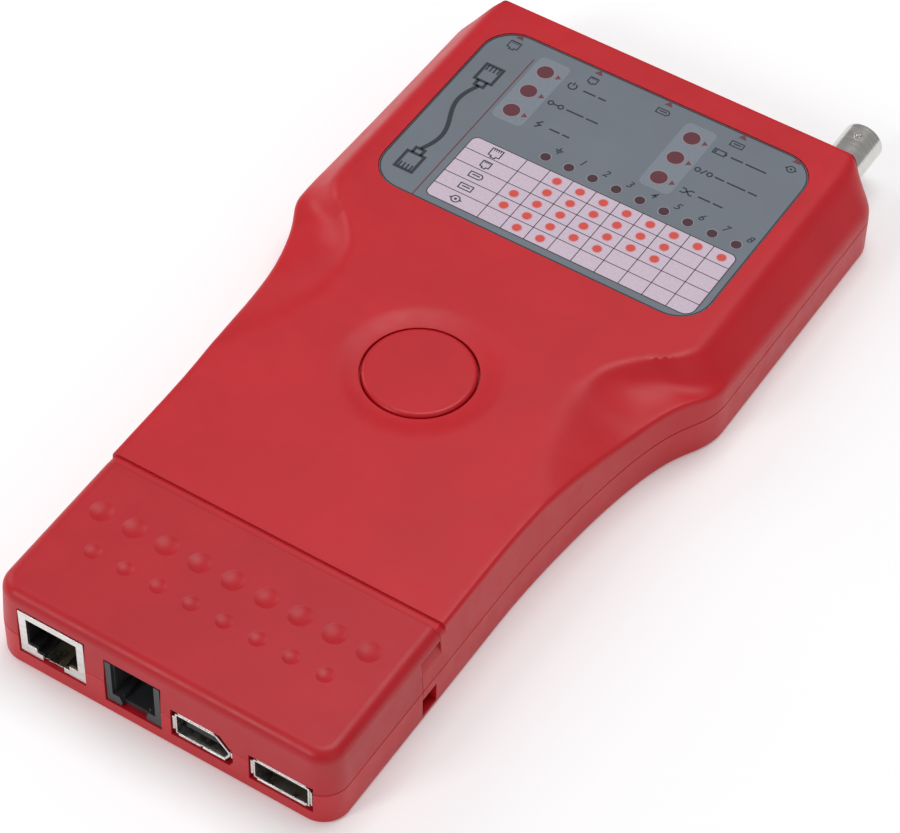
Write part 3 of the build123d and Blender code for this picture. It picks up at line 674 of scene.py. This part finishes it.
# ---- generic pictograms in place of words --------------------------------
def modular_socket(width):
    """Square socket seen from the front, with a latch notch."""
    half, tall, notch = width / 2, width * 0.42, width * 0.2
    outline = [
        (-half, tall), (-half, -tall), (-notch, -tall), (-notch, -tall * 1.45),
        (notch, -tall * 1.45), (notch, -tall), (half, -tall), (half, tall),
    ]
    loops = ribbon(outline, 0.3, closed=True)
    for index in range(4):
        x = (index - 1.5) * width * 0.19
        loops += ribbon([(x, tall), (x, tall * 0.35)], 0.22)
    return loops


def flat_socket(cut):
    """Wide flat socket with a bar inside, and two cut corners if asked."""
    outline = [(-1.7, -0.85), (1.7, -0.85), (1.7, 0.85), (-1.7, 0.85)]
    if cut:
        outline = [(-1.7, -0.85), (1.2, -0.85), (1.7, -0.3), (1.7, 0.3), (1.2, 0.85), (-1.7, 0.85)]
    return ribbon(outline, 0.3, closed=True) + ribbon([(-1.0, 0.1), (1.0, 0.1)], 0.34)


def coax_socket():
    """Round socket with its pin and two bayonet lugs."""
    loops = ribbon(circle(0, 0, 1.05, 20), 0.3, closed=True) + [circle(0, 0, 0.35, 12)]
    for side in (-1, 1):
        loops += ribbon([(side * 1.1, 0), (side * 1.6, 0)], 0.34)
    return loops


socket_signs = (
    modular_socket(2.9),
    modular_socket(2.3),
    flat_socket(True),
    flat_socket(False),
    coax_socket(),
)


def power_sign():
    """Broken ring with a bar: power."""
    return ribbon(arc(0, 0, 1.0, 125, 415), 0.36) + ribbon([(0, 0.3), (0, 1.35)], 0.36)


def joined_sign():
    """Two rings joined by a bar: connected."""
    loops = ribbon(circle(-1.3, 0, 0.6, 16), 0.34, closed=True)
    loops += ribbon(circle(1.3, 0, 0.6, 16), 0.34, closed=True)
    return loops + ribbon([(-0.6, 0), (0.6, 0)], 0.36)


def short_sign():
    """Bolt: short circuit."""
    return ribbon([(0.5, 1.2), (-0.5, 0.1), (0.5, -0.1), (-0.5, -1.2)], 0.38)


def battery_sign():
    """Battery with little charge left."""
    loops = ribbon([(-1.5, -0.7), (1.3, -0.7), (1.3, 0.7), (-1.5, 0.7)], 0.32, closed=True)
    loops += ribbon([(1.6, -0.35), (1.6, 0.35)], 0.36)
    return loops + ribbon([(-1.0, -0.4), (-1.0, 0.4)], 0.4)


def parted_sign():
    """Two rings with a stroke between them: not connected."""
    loops = ribbon(circle(-1.5, 0, 0.6, 16), 0.34, closed=True)
    loops += ribbon(circle(1.5, 0, 0.6, 16), 0.34, closed=True)
    return loops + ribbon([(-0.45, -0.8), (0.45, 0.8)], 0.34)


def crossed_sign():
    """Two lines that cross: crossed wires."""
    rising = [(-1.5, -0.7), (-0.7, -0.7), (0.7, 0.7), (1.5, 0.7)]
    return ribbon(rising, 0.34) + ribbon([(x, -y) for x, y in rising], 0.34)


def dashes(lengths, gap=0.7, width=0.42):
    """Row of plain bars that fills the place of a word."""
    loops, x = [], 0.0
    for length in lengths:
        loops += ribbon([(x, 0), (x + length, 0)], width)
        x += length + gap
    return loops


def ground_sign():
    """Bar over three lines, each shorter than the last: ground."""
    loops = ribbon([(0, 1.1), (0, 0.2)], 0.3)
    for step, half in enumerate((0.95, 0.6, 0.25)):
        loops += ribbon([(-half, 0.2 - 0.5 * step), (half, 0.2 - 0.5 * step)], 0.3)
    return loops


def plug_sign():
    """Modular plug with its contacts, pointing +X, and the start of its cable."""
    loops = ribbon([(0, -2.2), (5.4, -2.2), (5.4, 2.2), (0, 2.2)], 0.75, closed=True)
    loops += ribbon([(0, 1.1), (-1.8, 1.1), (-1.8, -1.1), (0, -1.1)], 0.75)
    for index in range(4):
        y = (index - 1.5) * 0.95
        loops += ribbon([(5.2, y), (3.5, y)], 0.4)
    return loops


signs = []
mode_signs = (
    (power_sign, joined_sign, short_sign),
    (battery_sign, parted_sign, crossed_sign),
)
dash_rows = (
    ((3.2, 2.0), (4.4, 3.0), (2.6, 1.8)),
    ((3.0, 5.2), (2.4, 4.6, 2.2), (3.0, 2.4)),
)
sign_offset, dash_offset, sign_drop = 7.4, 10.2, 0.4
socket_sign_y, socket_sign_scale = y_at(188.9), 0.9
table_sign_scale = 0.95
for x, column_signs, column_dashes in zip(mode_xs, mode_signs, dash_rows):
    for d, sign, lengths in zip(mode_ds, column_signs, column_dashes):
        y = y_at(d - sign_drop)
        signs += moved(sign(), x + sign_offset, y)
        signs += moved(dashes(lengths), x + dash_offset, y)
for x, sign in zip(socket_xs, socket_signs):
    signs += moved(sign, x, socket_sign_y, socket_sign_scale)
for index, sign in enumerate(socket_signs):
    y = y_at(table_top - (index + 0.5) * row)
    signs += moved(sign, table_left + name_width / 2, y, table_sign_scale)
# over the first wire light
signs += moved(ground_sign(), wire_xs[0] + 1.6, y_at(165.6))

# large sign of a patch cable up the left side: two plugs, and a wave between them
title_x, wave_swing, wave_width, wave_count = -35.3, 1.6, 1.05, 20
wave_start, wave_end = 149.4, 173.2
signs += moved(plug_sign(), title_x, y_at(175.0), 1.0, 90)
signs += moved(plug_sign(), title_x, y_at(147.5), 1.0, -90)
wave = []
for t in range(wave_count + 1):
    swing = wave_swing * math.sin(2 * math.pi * t / wave_count)
    wave.append((title_x + swing, y_at(wave_start + (wave_end - wave_start) * t / wave_count)))
signs += ribbon(wave, wave_width)
print_piece("label_signs", signs, 1, ink_dark)

border_inset, border_r, border_width = 0.25, 7.75, 0.3
border = rectangle(
    label_low.x + border_inset, label_low.y + border_inset,
    label_high.x - border_inset, label_high.y - border_inset, (border_r,) * 4,
)
print_piece("label_border", ribbon(border, border_width, closed=True), 0, ink_dark)

# wire numbers, each beside its light
digit_height, digit_slant, digit_weight, digit_relief = 2.7, 0.3, 0.02, 0.01
digit_offset, digit_y = 1.7, y_at(164.5)
for index, x in enumerate(wire_xs[1:], start=1):
    curve = bpy.data.curves.new(f"digit_{index}", "FONT")
    curve.body = str(index)
    curve.size = digit_height * MM
    curve.shear = digit_slant
    curve.offset = digit_weight * MM
    curve.extrude = digit_relief * MM
    curve.align_x = "CENTER"
    digit = bpy.data.objects.new(f"label_digit_{index}", curve)
    digit.location = ((x + digit_offset) * MM, digit_y * MM, (film_top + ink_step) * MM)
    bpy.context.scene.collection.objects.link(digit)
    curve.materials.append(ink_dark)
    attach(digit, "main")


# ---- studio --------------------------------------------------------------
floor_half, floor_drop = 6.0, 0.00005
floor_corners = [(-1, -1), (1, -1), (1, 1), (-1, 1)]
floor_mesh = bpy.data.meshes.new("floor")
floor_mesh.from_pydata(
    [(x * floor_half, y * floor_half, 0) for x, y in floor_corners], [], [(0, 1, 2, 3)]
)
floor = bpy.data.objects.new("floor", floor_mesh)
floor.location.z = cad_low.z - floor_drop
bpy.context.scene.collection.objects.link(floor)
floor_paint, floor_shader = shader_of("floor_paint")
floor_shader.inputs["Base Color"].default_value = (0.93, 0.93, 0.94, 1)
floor_shader.inputs["Roughness"].default_value = 0.7
floor_shader.inputs["Emission Color"].default_value = (1, 1, 1, 1)
floor_shader.inputs["Emission Strength"].default_value = 0.14
floor_mesh.materials.append(floor_paint)


def softbox(name, azimuth, elevation, distance, size, watts):
    """Square area light that faces the object; angles as seen from it, in degrees."""
    turn, rise = math.radians(azimuth), math.radians(elevation)
    level = math.cos(rise)
    away = Vector((math.sin(turn) * level, -math.cos(turn) * level, math.sin(rise)))
    data = bpy.data.lights.new(name, "AREA")
    data.size = size
    data.energy = watts
    lamp = bpy.data.objects.new(name, data)
    lamp.location = away * distance
    lamp.rotation_euler = away.to_track_quat("Z", "Y").to_euler()
    bpy.context.scene.collection.objects.link(lamp)


softbox("overhead", azimuth=180, elevation=74, distance=1.5, size=0.9, watts=9.5)
softbox("front_left", azimuth=-24, elevation=34, distance=1.5, size=0.35, watts=4.5)
softbox("left", azimuth=-95, elevation=32, distance=1.7, size=0.9, watts=5.0)
softbox("right", azimuth=70, elevation=30, distance=1.8, size=0.8, watts=1.5)

world = bpy.data.worlds.new("studio")
world.use_nodes = True
backdrop = world.node_tree.nodes["Background"]
backdrop.inputs["Color"].default_value = (1.0, 1.0, 1.0, 1)
backdrop.inputs["Strength"].default_value = 0.36
bpy.context.scene.world = world
bpy.context.scene.view_settings.view_transform = "Standard"

# ---- camera --------------------------------------------------------------
# long lens, from above the near right corner; angles in degrees
camera_place = (0.26387, -0.42994, 0.58054)
camera_angles = (40.652, -0.857, 32.604)
camera_data = bpy.data.cameras.new("camera")
camera_data.lens = 142.85
camera_data.sensor_width = 36.0
camera_data.clip_start = 0.05
camera = bpy.data.objects.new("camera", camera_data)
camera.location = camera_place
camera.rotation_euler = [math.radians(angle) for angle in camera_angles]
bpy.context.scene.collection.objects.link(camera)
bpy.context.scene.camera = camera
